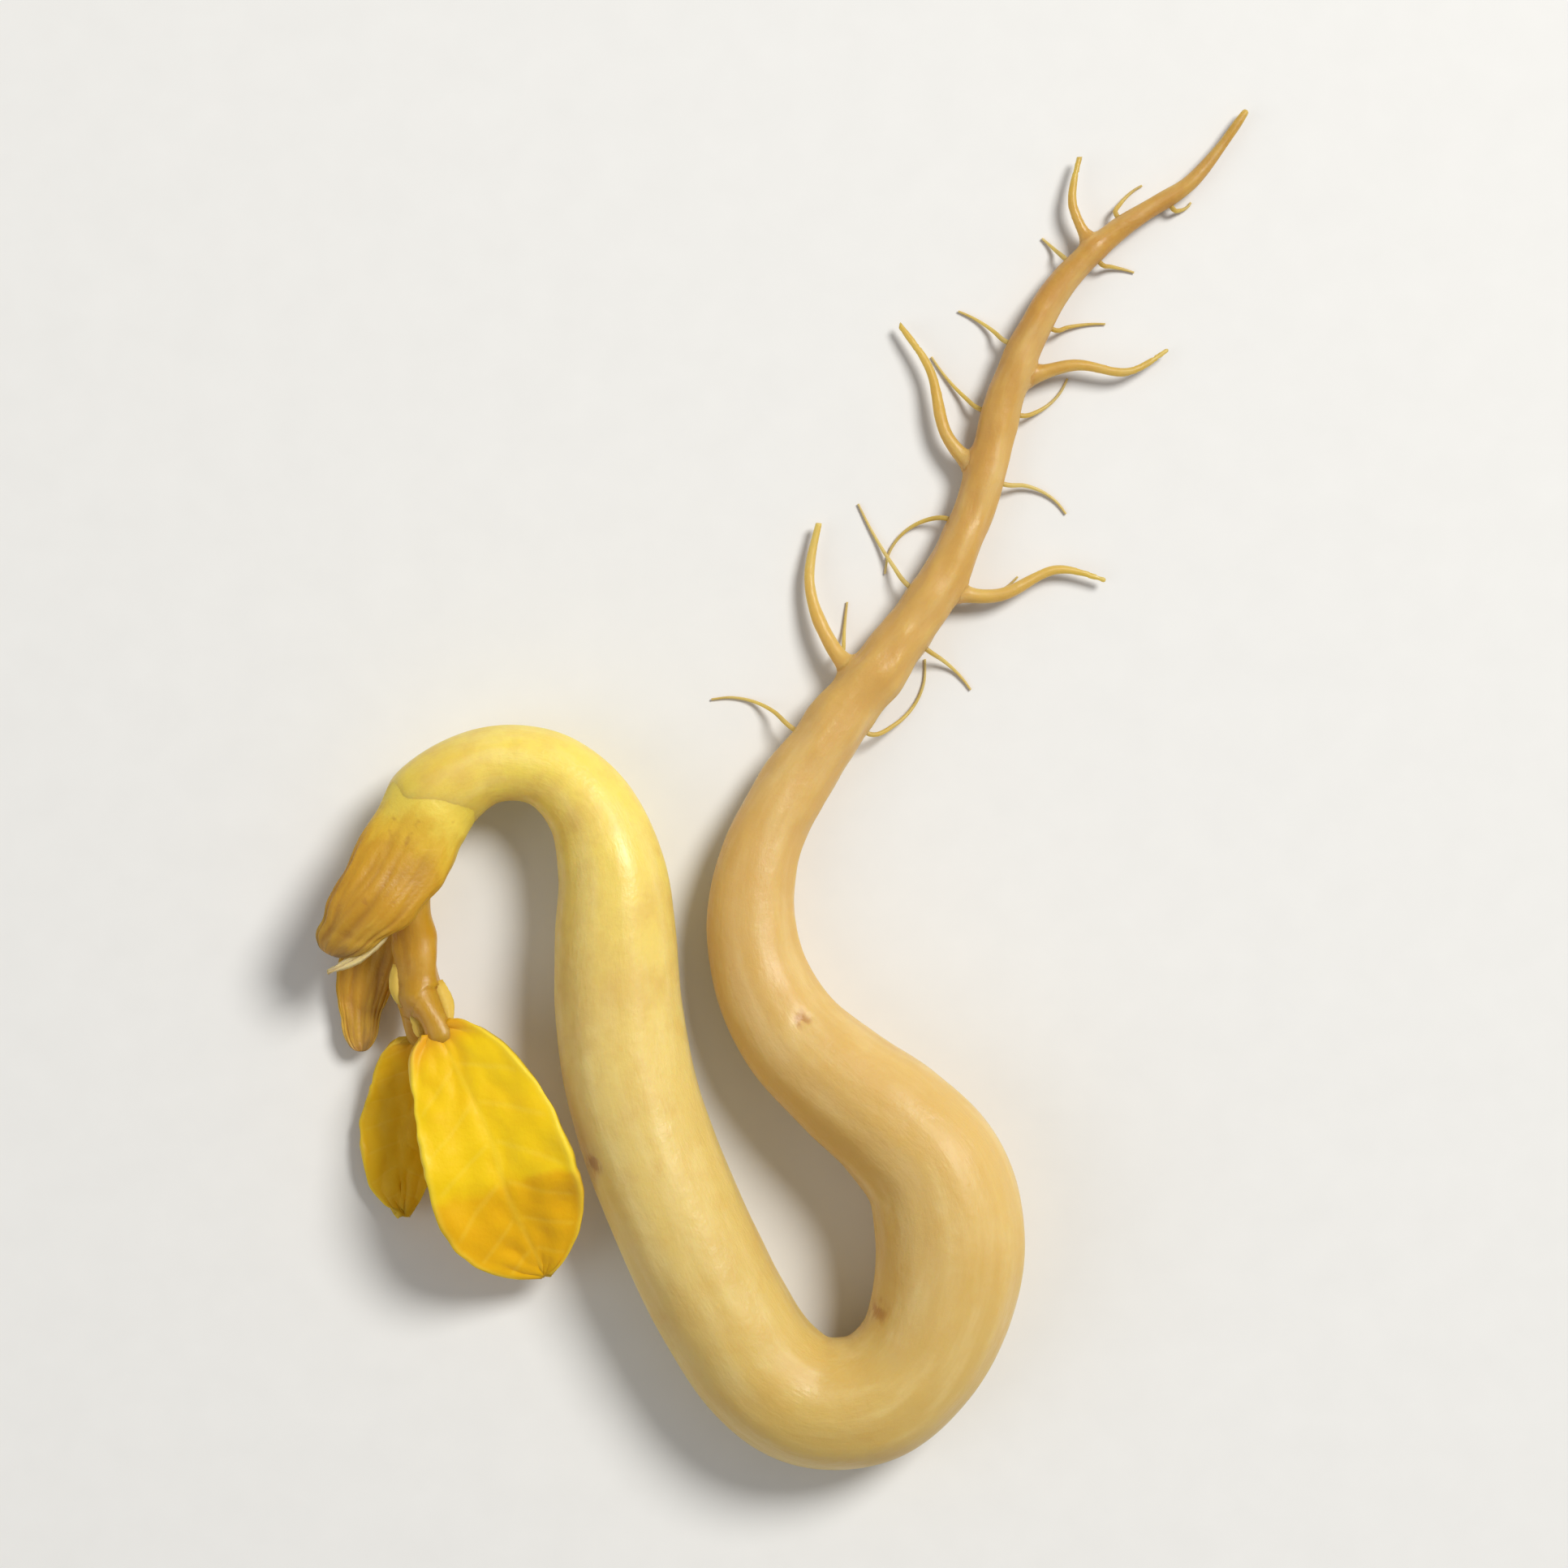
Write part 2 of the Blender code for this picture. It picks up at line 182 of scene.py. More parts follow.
thin_the_tip(stem_route, over=7.0, least=0.34)
grown = [{"route": stem_route, "along": stem_along, "kind": STEM_KIND}]
for kind, group in ((STALK_KIND, (STALK, *LEAF_STALKS)), (ROOT_KIND, SIDE_ROOTS)):
    for stations in group:
        route, along = smooth_route(stations)
        leaves_at = stem_along[np.argmin(np.linalg.norm(stem_route[:, :3] - route[0, :3], axis=1))]
        if kind == ROOT_KIND:
            along = leaves_at + along
            route[:, 3] *= SIDE_ROOT_SLIMNESS
            thin_the_tip(route, over=4.0, least=0.44)
        else:
            along = 0 * along
        grown.append({"route": route, "along": along, "kind": kind})
thinnest = min(part["route"][-1, 3] for part in grown)
print("branches:", len(grown) - 1, "and the thinnest tip is", round(thinnest, 2), "mm")

# %% [markdown]
# ## Tubes for every route
#
# A curve with a round bevel turns each route into a closed tube whose thickness follows the diameters.
# Converting the curves gives plain meshes, which still overlap where a branch starts inside the stem. A
# real sprout has no seam there: the skin runs on in a small fillet. A Boolean would leave a sharp
# crease, so the tubes are joined and remeshed in small voxels, which fuses them into one skin.

# %% Bevelled curves, converted, joined and fused by a voxel remesh
VOXEL = 0.08


def tube(name, route, every):
    """A round curve through every so many rows of a route, as thick as the route says."""
    rows = route[::every]
    curve = bpy.data.curves.new(name, "CURVE")
    curve.dimensions = "3D"
    curve.bevel_depth = MM
    curve.bevel_resolution = 8
    curve.use_fill_caps = True
    spline = curve.splines.new("POLY")
    spline.points.add(len(rows) - 1)
    for point, (x, y, z, diameter) in zip(spline.points, rows):
        point.co = (x * MM, y * MM, z * MM, 1.0)
        point.radius = diameter / 2
    made = bpy.data.objects.new(name, curve)
    bpy.context.scene.collection.objects.link(made)
    return made


def one_mesh(name, curves):
    """Converts curves to meshes and joins them as one named object."""
    bpy.ops.object.select_all(action="DESELECT")
    for curve in curves:
        curve.select_set(True)
    bpy.context.view_layer.objects.active = curves[0]
    bpy.ops.object.convert(target="MESH")
    bpy.ops.object.join()
    joined = bpy.context.object
    joined.name = joined.data.name = name
    return joined


stem = one_mesh("stem_skin", [tube(f"tube_{i}", part["route"], every=8) for i, part in enumerate(grown)])
finish_with(stem, "REMESH", mode="VOXEL", voxel_size=VOXEL * MM, use_smooth_shade=True)
print("fused skin:", len(stem.data.vertices), "points")

# %% [markdown]
# ## Reading points and measuring distances
#
# Voxels leave faint steps in the skin. Smoothing would take them away, but it would also thin the roots.
# We know where the true skin is, though: every point has a distance to each route, less the radius
# there. A tree of the samples of a route finds the nearest one quickly. The round ends of a tube have
# their centre one radius in from the tip, so the samples beyond it are left out of the tree.

# %% Points in millimetres, normals, and distances to the routes


def points_of(thing):
    flat = np.empty(len(thing.data.vertices) * 3)
    thing.data.vertices.foreach_get("co", flat)
    return flat.reshape(-1, 3) / MM


def set_points(thing, points):
    thing.data.vertices.foreach_set("co", (points * MM).ravel())
    thing.data.update()


def normals_of(thing):
    flat = np.empty(len(thing.data.vertices) * 3)
    thing.data.vertex_normals.foreach_get("vector", flat)
    return flat.reshape(-1, 3)


for part in grown:
    ends_in = part["route"][[0, -1], 3] / 2
    gone = np.arange(len(part["route"])) * ROUTE_STEP
    part["core"] = np.flatnonzero((gone >= ends_in[0]) & (gone <= gone[-1] - ends_in[1]))
    tree = kdtree.KDTree(len(part["core"]))
    for i, at in enumerate(part["core"]):
        tree.insert(part["route"][at, :3], i)
    tree.balance()
    part["tree"] = tree


def nearest(points):
    """For each route: the sample nearest to each point, the distance from the skin, and its direction."""
    which, gap, away = [], [], []
    for part in grown:
        found = np.array([part["core"][part["tree"].find(p)[1]] for p in points])
        arm = points - part["route"][found, :3]
        reach = np.linalg.norm(arm, axis=1)
        which.append(found)
        gap.append(reach - part["route"][found, 3] / 2)
        away.append(arm / reach[:, None])
    return np.array(which), np.array(gap), np.array(away)


print("samples in the trees:", [len(part["core"]) for part in grown])

# %% [markdown]
# ## Bringing the skin back onto the routes
#
# A plain minimum of the distances would leave a crease at each fork. A soft minimum rounds it off, and it
# is zero on a skin with a small fillet there, as a real stem has. So each point is moved along the slope
# of that soft distance, and after a few moves it is in place.

# %% The skin moved onto the routes
FILLET = 0.10
MOVES = 3
LEAST_SLOPE = 0.3  # keeps a move short in a fork, where the slopes of two branches cancel

skin = points_of(stem)
for move in range(MOVES):
    which, gap, away = nearest(skin)
    least = gap.min(axis=0)
    share = np.exp(-(gap - least) / FILLET)
    soft = least - FILLET * np.log(share.sum(axis=0))
    slope = (share[:, :, None] * away).sum(axis=0) / share.sum(axis=0)[:, None]
    skin -= soft[:, None] * slope / np.maximum((slope**2).sum(axis=1), LEAST_SLOPE)[:, None]
    print("move", move, "largest distance from the skin:", round(float(np.abs(soft).max()), 3), "mm")
set_points(stem, skin)

# %% [markdown]
# ## Coordinates that follow the stem
#
# The fine streaks of a stem run along it, round every bend, so a pattern in plain object coordinates
# would cut across them. Each point gets two attributes instead: how far along the stem it is, and a
# grain vector made of the offset across the route and that distance. The materials read both.

# %% The along and grain attributes
GRAIN_SHIFT = 7.0  # from one branch to the next, so that no two have the same pattern

which, gap, away = nearest(skin)
owner = gap.argmin(axis=0)
along = np.empty(len(skin))
radius = np.empty(len(skin))
grain = np.empty((len(skin), 3))
kind = np.array([grown[i]["kind"] for i in owner])
for number, part in enumerate(grown):
    mine = np.flatnonzero(owner == number)
    at = which[number][mine]
    ahead = np.gradient(part["route"][:, :3], axis=0)[at]
    across = np.cross(ahead, (0.0, 0.0, 1.0))
    across /= np.linalg.norm(across, axis=1)[:, None]
    upward = np.cross(across, ahead)
    upward /= np.linalg.norm(upward, axis=1)[:, None]
    arm = skin[mine] - part["route"][at, :3]
    along[mine] = part["along"][at]
    radius[mine] = part["route"][at, 3] / 2
    gone = at * ROUTE_STEP + GRAIN_SHIFT * number
    grain[mine] = np.column_stack([(arm * across).sum(axis=1), (arm * upward).sum(axis=1), gone])


def keep_attribute(thing, name, values):
    """Stores a number or a vector at every point."""
    kind_of = "FLOAT" if values.ndim == 1 else "FLOAT_VECTOR"
    layer = thing.data.attributes.get(name) or thing.data.attributes.new(name, kind_of, "POINT")
    layer.data.foreach_set("value" if values.ndim == 1 else "vector", values.astype(np.float32).ravel())


keep_attribute(stem, "along", along)
keep_attribute(stem, "grain", grain)
print("along runs from", round(float(along.min()), 2), "to", round(float(along.max()), 2), "mm")

# %% [markdown]
# ## Relief of the skin
#
# A sprout's stem looks smooth but isn't a machined rod. It has slow swellings, and faint ribs along it
# where the cells below are a little slack, while the stalk and the root are knobbly and the root is
# wrinkled too. A bump map would not show at the outline, so the points themselves will be moved along
# their normals. Here the height of each of these forms is worked out.

# %% Swellings, ribs, knobs and wrinkles
SWELLING, RIBS, DIMPLES = 0.06, 0.030, 0.016  # how far noise of 1 lifts the skin, in millimetres
STALK_KNOBS, ROOT_KNOBS, ROOT_WRINKLES = 0.34, 0.14, 0.07  # the same as shares of the radius
ROOT_FROM, ROOT_FULLY = 36.0, 44.0  # where along the stem the root begins, and where it is all root


def noise_at(points, scale, shift=0.0):
    """Smooth noise, mostly from -0.5 to 0.5, at points times a scale for each axis."""
    return np.array([noise.noise(Vector(p)) for p in points * np.array(scale) + shift])


def ramp(values, low, high):
    """A smooth rise from 0 at low to 1 at high."""
    t = np.clip((values - low) / (high - low), 0, 1)
    return t * t * (3 - 2 * t)


rootness = np.where(kind == ROOT_KIND, 1.0, ramp(along, ROOT_FROM, ROOT_FULLY))
swelling = noise_at(skin, (0.28, 0.28, 0.28)) * SWELLING * np.minimum(radius, 1.0)
ribs = noise_at(grain, (1.9, 1.9, 0.16), 3.0) * RIBS * (1 - rootness)
dimples = noise_at(grain, (1.5, 1.5, 0.9), 9.0) * DIMPLES
knobbly = np.where(kind == STALK_KIND, STALK_KNOBS, ROOT_KNOBS * rootness)
knobs = noise_at(grain, (1.6, 1.6, 1.3), 5.0) * radius * knobbly
wrinkles = noise_at(grain, (4.5, 4.5, 1.1), 8.0) * ROOT_WRINKLES * radius * rootness
relief = swelling + ribs + dimples + knobs + wrinkles
print("relief without bruises:", round(float(relief.min()), 3), "to", round(float(relief.max()), 3), "mm")

# %% [markdown]
# ## Bruises
#
# A crisp stem bruises wherever it is pressed. Three spots with a ragged edge are enough here. Each is
# placed by its distance along the stem and by its heading from the stem's axis. It sinks the skin a
# little, as the last part of the relief, and is kept as an attribute, which will colour it later.

# %% Three bruises, and the whole relief
BRUISES = (  # distance along the stem, heading across and up from its axis, size
    (13.6, (0.86, 0.51), 0.34), (24.6, (-0.90, 0.44), 0.42), (33.2, (0.35, 0.94), 0.24),
)
BRUISE_STRETCH, BRUISE_EDGE, BRUISE_DEPTH = 0.75, 2.5, 0.05

bruise = np.zeros(len(skin))
for place, (side, up), size in BRUISES:
    across_it, up_it = grain[:, 0] / radius - side, grain[:, 1] / radius - up
    spot = np.column_stack([across_it, up_it, (along - place) * BRUISE_STRETCH])
    ragged = 1 + 0.5 * noise_at(skin, (5.0, 5.0, 5.0), place)
    depth = np.exp(-((spot**2).sum(axis=1)) / (size * ragged) ** 2 * BRUISE_EDGE)
    bruise = np.maximum(bruise, np.where(kind == STEM_KIND, depth, 0))
lift = relief - BRUISE_DEPTH * bruise
skin = skin + normals_of(stem) * lift[:, None]
set_points(stem, skin)
keep_attribute(stem, "bruise", bruise)
print("the relief moves the skin by", round(float(lift.min()), 3), "to", round(float(lift.max()), 3), "mm")

# %% [markdown]
# ## Where the sprout rests
#
# A limp stem flattens a little where it lies on a surface. The lowest points have gone just below the
# floor, so they are selected by their height and scaled to nothing along Z, about the height of the
# floor.

# %% Flatten what went below the floor
only(stem)
bpy.ops.object.mode_set(mode="EDIT")
bpy.ops.mesh.select_mode(type="VERT")
bpy.ops.mesh.select_all(action="DESELECT")
bpy.ops.object.mode_set(mode="OBJECT")
stem.data.vertices.foreach_set("select", skin[:, 2] < 0.0)
bpy.ops.object.mode_set(mode="EDIT")
bpy.ops.transform.resize(value=(1, 1, 0), center_override=(0, 0, 0), orient_type="GLOBAL")
bpy.ops.object.mode_set(mode="OBJECT")
print("points on the floor:", int((skin[:, 2] < 0.0).sum()))

# %% [markdown]
# ## Fine roots
#
# Between the side roots, the root has a fringe of finer ones, thinner than a thread, too fine for the
# CAD model. Each is a short curve with a thin round bevel: it starts inside the root, leaves it
# sideways, and sinks until it lies on the floor. Smooth noise varies the length and the bend, so no two
# are alike, yet every run gives the same ones.

# %% A fringe of fine roots
FINE_ROOTS = 16
FINE_FROM, FINE_TO = 40.0, 57.0
SHORTER_EACH_TIME = 0.045  # towards the root's tip, as a share of the first one's stride
HEADING_SAMPLES = 20  # rows to either side that give the root's heading


def vary(number, trait):
    """A number, mostly from -0.5 to 0.5, that looks random and never changes."""
    return noise.noise(Vector((number * 3.71, trait * 5.37, 0.5)))


strands = []
for number in range(FINE_ROOTS):
    place = FINE_FROM + (FINE_TO - FINE_FROM) * (number + 0.5 + 0.8 * vary(number, 0)) / FINE_ROOTS
    at = round(place / ROUTE_STEP)
    x, y, z, diameter = stem_route[at] - (*PLAN_SHIFT, 0.0)
    ahead = stem_route[at + HEADING_SAMPLES, :2] - stem_route[at - HEADING_SAMPLES, :2]
    ahead /= np.linalg.norm(ahead)
    side = np.array((ahead[1], -ahead[0])) * (1 if number % 2 else -1)
    stride = (0.36 + 0.8 * abs(vary(number, 1))) * (1 - SHORTER_EACH_TIME * number)
    heading = 0.5 + 0.9 * vary(number, 2)
    bend = 0.55 * vary(number, 3)
    spot = np.array((x, y)) + side * (diameter / 2 + 0.1)
    stations = [(x, y, z, 0.13), (*spot, z * 0.8, 0.12)]
    for height, thickness in ((z * 0.4, 0.10), (0.10, 0.08), (0.06, 0.065), (0.05, 0.05)):
        heading += bend
        spot = spot + stride * (side * math.cos(heading) + ahead * math.sin(heading))
        stations.append((*spot, height, thickness))
    strands.append(tube(f"strand_{number}", smooth_route(stations)[0], every=5))
fine_roots = one_mesh("fine_roots", strands)
bpy.ops.object.shade_smooth()
fine_points = points_of(fine_roots)
keep_attribute(fine_roots, "along", 48.0 + fine_points[:, 1] * 0.5)
keep_attribute(fine_roots, "grain", fine_points * 0.3)
print("fine roots:", len(strands), "strands with", len(fine_roots.data.polygons), "faces")

# %% [markdown]
# ## Painting: values from nodes
#
# Every finish here is a Principled shader whose colour, roughness and bump come from nodes. The helpers
# only save typing. These first ones add a node, link it, and give values: an attribute, a place, noise,
# or one value worked out from others. A value that is the same all over needs no node, and goes straight
# on the shader's own socket.

# %% Helpers that give values


class Values:
    """The nodes of a material under construction, and the values that they give."""

    def __init__(self, name, **constants):
        self.material = bpy.data.materials.new(name)
        self.material.use_nodes = True
        self.nodes = self.material.node_tree.nodes
        self.shader = self.nodes["Principled BSDF"]
        for socket, value in constants.items():
            self.shader.inputs[socket.replace("_", " ")].default_value = value

    def node(self, kind, **settings):
        made = self.nodes.new("ShaderNode" + kind)
        for name, value in settings.items():
            setattr(made, name, value)
        return made

    def link(self, source, target):
        self.material.node_tree.links.new(source, target)

    def attribute(self, name, output="Fac"):
        return self.node("Attribute", attribute_name=name).outputs[output]

    def object_place(self):
        return self.node("TexCoord").outputs["Object"]

    def noise(self, vector, scale, stretch=(1, 1, 1), detail=4.0, roughness=0.55):
        mapping = self.node("Mapping")
        mapping.inputs["Scale"].default_value = stretch
        self.link(vector, mapping.inputs["Vector"])
        texture = self.node("TexNoise")
        texture.inputs["Scale"].default_value = scale
        texture.inputs["Detail"].default_value = detail
        texture.inputs["Roughness"].default_value = roughness
        self.link(mapping.outputs["Vector"], texture.inputs["Vector"])
        return texture.outputs["Fac"]

    def spread(self, value, low, high, to_low=0.0, to_high=1.0):
        """Turns a value's range from low to high into another range, with a soft start and end."""
        made = self.node("MapRange", interpolation_type="SMOOTHSTEP")
        sockets = ("From Min", "From Max", "To Min", "To Max")
        for socket, number in zip(sockets, (low, high, to_low, to_high)):
            made.inputs[socket].default_value = number
        self.link(value, made.inputs["Value"])
        return made.outputs["Result"]

    def combine(self, first, operation, second):
        made = self.node("Math", operation=operation)
        for value, socket in zip((first, second), made.inputs):
            self.link(value, socket)
        return made.outputs["Value"]


print("helpers for values ready")

# %% [markdown]
# ## Painting: colours and bumps
#
# The other helpers turn a value into a colour by a ramp, mix two colours, turn heights into bumps one
# after another, and put the finished material on a piece. They could be separate functions, but as one
# class they share the node tree that they work on.

# %% Helpers that give colours and bumps


class Paint(Values):
    """A material under construction, with its colours and bumps."""

    def ramp(self, value, stops):
        """Colours for a value from 0 to 1, from (place, colour) stops."""
        made = self.node("ValToRGB")
        made.color_ramp.interpolation = "EASE"
        elements = made.color_ramp.elements
        while len(elements) < len(stops):
            elements.new(0.5)
        for element, (place, colour) in zip(elements, stops):
            element.position = place
            element.color = (*colour, 1.0)
        self.link(value, made.inputs["Fac"])
        return made.outputs["Color"]

    def mix(self, amount, first, second):
        """Mixes two colours; each is a fixed colour or comes from a node."""
        made = self.node("Mix", data_type="RGBA")
        self.link(amount, made.inputs["Factor"])
        colour_a, colour_b, mixed = made.inputs[6], made.inputs[7], made.outputs[2]
        for socket, value in ((colour_a, first), (colour_b, second)):
            if isinstance(value, tuple):
                socket.default_value = (*value, 1.0)
            else:
                self.link(value, socket)
        return mixed

    def bump(self, heights):
        """One bump after another, from (height, distance in millimetres) pairs."""
        normal = None
        for height, distance in heights:
            made = self.node("Bump")
            made.inputs["Distance"].default_value = distance * MM
            self.link(height, made.inputs["Height"])
            if normal is not None:
                self.link(normal, made.inputs["Normal"])
            normal = made.outputs["Normal"]
        self.link(normal, self.shader.inputs["Normal"])

    def put_on(self, thing, colour, roughness):
        self.link(colour, self.shader.inputs["Base Color"])
        self.link(roughness, self.shader.inputs["Roughness"])
        thing.data.materials.clear()
        thing.data.materials.append(self.material)


print("paint helpers ready")

# %% [markdown]
# ## The finish of the stem
#
# A mung bean stem is crisp, watery and translucent. Light goes about a millimetre into it and comes out
# yellowish, so it needs subsurface scattering, and its wet skin needs a thin clear coat. The colour
# follows its length: golden brown at the stalk, bright yellow in the hook, cream down the stem, darker
# round the bottom of the curl as painted shade, tan and then brown along the root. Fine streaks follow
# the grain vector, and bruises turn red-brown.

# %% The stem's material
skin_paint = Paint("stem_skin", Subsurface_Weight=0.55, Subsurface_Radius=(1.0, 0.66, 0.22),
                   Subsurface_Scale=0.0016, Coat_Weight=0.13, Coat_Roughness=0.30, IOR=1.38)
PAINTED_LENGTH = 62.0  # millimetres along the stem that the colour stops share out

length_share = skin_paint.spread(skin_paint.attribute("along"), 0.0, PAINTED_LENGTH)
length_share.node.interpolation_type = "LINEAR"
# The stops from about 0.22 to 0.43, round the bottom of the curl, are darker than the stem's cream:
# painted shade.
by_length = skin_paint.ramp(length_share, (
    (0.00, (0.50, 0.265, 0.015)), (0.008, (0.74, 0.49, 0.050)), (0.02, (0.83, 0.62, 0.085)),
    (0.05, (0.86, 0.68, 0.125)), (0.09, (0.87, 0.69, 0.150)), (0.13, (0.83, 0.65, 0.170)),
    (0.17, (0.80, 0.62, 0.195)), (0.22, (0.75, 0.57, 0.185)), (0.28, (0.70, 0.52, 0.170)),
    (0.33, (0.65, 0.46, 0.135)), (0.43, (0.67, 0.46, 0.150)), (0.52, (0.66, 0.44, 0.145)),
    (0.62, (0.64, 0.41, 0.130)), (0.72, (0.60, 0.36, 0.100)), (0.86, (0.50, 0.27, 0.060)),
    (1.00, (0.32, 0.14, 0.030)),
))
grain_vector = skin_paint.attribute("grain", "Vector")
streaks = skin_paint.noise(grain_vector, 2.0, stretch=(1, 1, 0.20), detail=5.0, roughness=0.5)
below_stalk = skin_paint.spread(skin_paint.attribute("along"), 0.0, 2.5, 0.2, 1.0)
strong_streaks = skin_paint.spread(streaks, 0.42, 0.74, 0.0, 0.24)
streak_share = skin_paint.combine(strong_streaks, "MULTIPLY", below_stalk)
streaked = skin_paint.mix(streak_share, by_length, (0.92, 0.80, 0.42))
warm = skin_paint.noise(skin_paint.object_place(), 340.0, detail=7.0, roughness=0.68)
warmed = skin_paint.mix(skin_paint.spread(warm, 0.44, 0.70, 0.0, 0.40), streaked, (0.62, 0.38, 0.09))
mottle = skin_paint.noise(skin_paint.object_place(), 1500.0, detail=4.0, roughness=0.6)
mottled = skin_paint.mix(skin_paint.spread(mottle, 0.46, 0.70, 0.0, 0.26), warmed, (0.66, 0.42, 0.10))
specks = skin_paint.noise(grain_vector, 5.5, stretch=(1, 1, 0.5), detail=2.0)
broken = skin_paint.spread(specks, 0.25, 0.65, 0.3, 1.2)
bruise_edge = skin_paint.combine(skin_paint.attribute("bruise"), "MULTIPLY", broken)
bruised = skin_paint.mix(skin_paint.spread(bruise_edge, 0.10, 0.95, 0.0, 0.62), mottled,
                         (0.42, 0.17, 0.035))
wet = skin_paint.noise(skin_paint.object_place(), 700.0, detail=4.0)
cells = skin_paint.noise(grain_vector, 12.0, stretch=(1, 1, 0.3), detail=4.0)
skin_paint.bump(((warm, 0.045), (mottle, 0.030), (streaks, 0.025), (cells, 0.012)))
for thing in (stem, fine_roots):
    skin_paint.put_on(thing, bruised, skin_paint.spread(wet, 0.3, 0.7, 0.32, 0.56))
print("stem material has", len(skin_paint.nodes), "nodes")

# %% [markdown]
# ## Helpers for pieces that follow a spine
#
# The seed halves and the leaves each follow a curved spine, so one helper gives the place and the three
# directions at any share of a spine's length. Dried skin also folds in sharp valleys. The second helper
# makes them from smooth noise: there is a valley wherever the noise crosses zero.

# %% Directions along a spine, and sharp valleys
VALLEY_SHARPNESS = 3.2


def frame_along(spine, share):
    """Place, heading, side and up of a spine at shares of its length from 0 to 1."""
    route, gone = smooth_route(spine)
    at = np.clip(share, 0, 1) * (len(gone) - 1)
    here, ahead = (
        np.column_stack([np.interp(at, np.arange(len(gone)), column) for column in rows.T])
        for rows in (route, np.gradient(route, axis=0))
    )
    ahead /= np.linalg.norm(ahead, axis=1)[:, None]
    side = np.cross(ahead, (0.0, 0.0, 1.0))
    side /= np.linalg.norm(side, axis=1)[:, None]
    return here, ahead, side, np.cross(side, ahead)


def ridged(points, scale, shift):
    """Noise with sharp valleys: 1 in a valley, 0 away from it."""
    return 1 - np.minimum(1, np.abs(noise_at(points, scale, shift)) * VALLEY_SHARPNESS)


print("helpers for spines and valleys ready")

# %% [markdown]
# ## Dried folds, and a foot that grows on
#
# A seed half dries in coarse and fine folds along its length, with creases round its neck. Its foot has
# no edge of its own, because it runs on into the stem. So the points of the foot are moved onto the
# stem's skin, by the distances that shaped the stem, and sunk a little. A sculpted seam would do as well,
# but these distances keep the foot on the stem when the stem's stations change.

# %% Dried folds and a settled foot
FOOT_BLEND = 0.35
FOOT_DEPTH = 0.03


def dried_folds(turn, share, reach, shift):
    """How deep the skin is folded, as a share of half the thickness."""
    coarse = ridged(turn, (1.5, 1.5, 0.55), shift) * 0.07
    fine = ridged(turn, (2.6, 2.6, 1.1), shift + 4) * 0.05
    rings = ridged(turn, (0.5, 0.5, 4.5), shift + 9) * 0.04 * ramp(share, 0.35, 0.75)
    return ((coarse + fine) * ramp(share, 0.22, 0.55) + rings) * np.minimum(1, reach * 1.6)


def settle_foot(points, at_foot):
    """Moves the points of a foot onto the stem's skin, by how much each belongs to the foot."""
    _, gap, away = nearest(points)
    skinward = np.clip(gap[0] + FOOT_BLEND, 0, 2 * FOOT_BLEND) ** 2 / (4 * FOOT_BLEND)
    settled = np.where(gap[0] > FOOT_BLEND, gap[0], skinward) - FOOT_DEPTH
    return points + away[0] * ((settled - gap[0]) * at_foot)[:, None]


print("a foot starts to settle", FOOT_BLEND, "mm off the stem")

# %% [markdown]
# ## The withered seed halves
#
# The two halves of the bean fed the sprout and have shrunk to wrinkled fingers, each a dome outside and
# hollow inside, with a dark dry tip. We begin each from a sphere whose poles are its foot and its tip,
# bend it along the spine that the CAD node has, and then sink the folds into it. The folds are vertex
# moves in code, because no single modifier gives folds along and round a piece at once.

# %% A seed half, from a sphere to a wrinkled finger
NECKS = ((0.84, 0.10), (0.60, 0.04))  # share of the length, how much narrower
NECK_LENGTH = 0.06
TAPER = 0.26


def seed_half(name, spine, width, foot_thickness, thickness, dome, slant, shift):
    """Shapes one half; its dome faces up where dome is 1 and down where it is -1."""
    bpy.ops.object.select_all(action="DESELECT")
    bpy.ops.mesh.primitive_uv_sphere_add(segments=112, ring_count=84, radius=1.0)
    half = bpy.context.object
    half.name = half.data.name = name
    ball = points_of(half) * MM
    share = 0.5 - 0.5 * ball[:, 2]
    round_it = np.arctan2(ball[:, 1], ball[:, 0])
    reach = np.sqrt(np.maximum(0, 1 - ball[:, 2] ** 2))
    here, ahead, side, upward = frame_along(spine, share)
    necks = sum(depth * np.exp(-(((share - place) / NECK_LENGTH) ** 2)) for place, depth in NECKS)
    blunt = reach**0.75 * (1 - TAPER * share) * (1 - necks)
    turn = np.column_stack([np.cos(round_it), np.sin(round_it), share * 2.0])
    crease = dried_folds(turn, share, reach, shift)
    deep = foot_thickness + (thickness - foot_thickness) * ramp(share, 0.15, 0.60)
    out_side = np.cos(round_it) * blunt * width / 2
    out_up = np.sin(round_it) * blunt * deep / 2
    inner = out_up * dome < 0
    hollow = np.where(inner, 0.45 - 0.55 * (1 - np.abs(np.cos(round_it))) * reach, 1.0)
    out_up = out_up * hollow
    rim = 1 + 0.07 * noise_at(turn, (0.4, 0.4, 5.0), shift + 2) * np.abs(np.cos(round_it)) ** 4
    points = here + side * (out_side * rim)[:, None] + upward * out_up[:, None]
    points += ahead * (slant * out_side * ramp(share, 0.45, 0.95))[:, None]
    at_foot = (1 - ramp(share, 0.30, 0.62)) * ramp(np.sin(round_it) * dome, -0.6, -0.1)
    points = settle_foot(points, at_foot)
    set_points(half, points)
    set_points(half, points - normals_of(half) * (crease * thickness / 2)[:, None])
    bpy.ops.object.shade_smooth()
    keep_attribute(half, "share", share)
    keep_attribute(half, "crease", crease / max(crease.max(), 1e-6))
    keep_attribute(half, "grain", np.column_stack([turn[:, :2], share * 5.0]))
    return half


print("the necks are at", [place for place, _ in NECKS], "of the length")

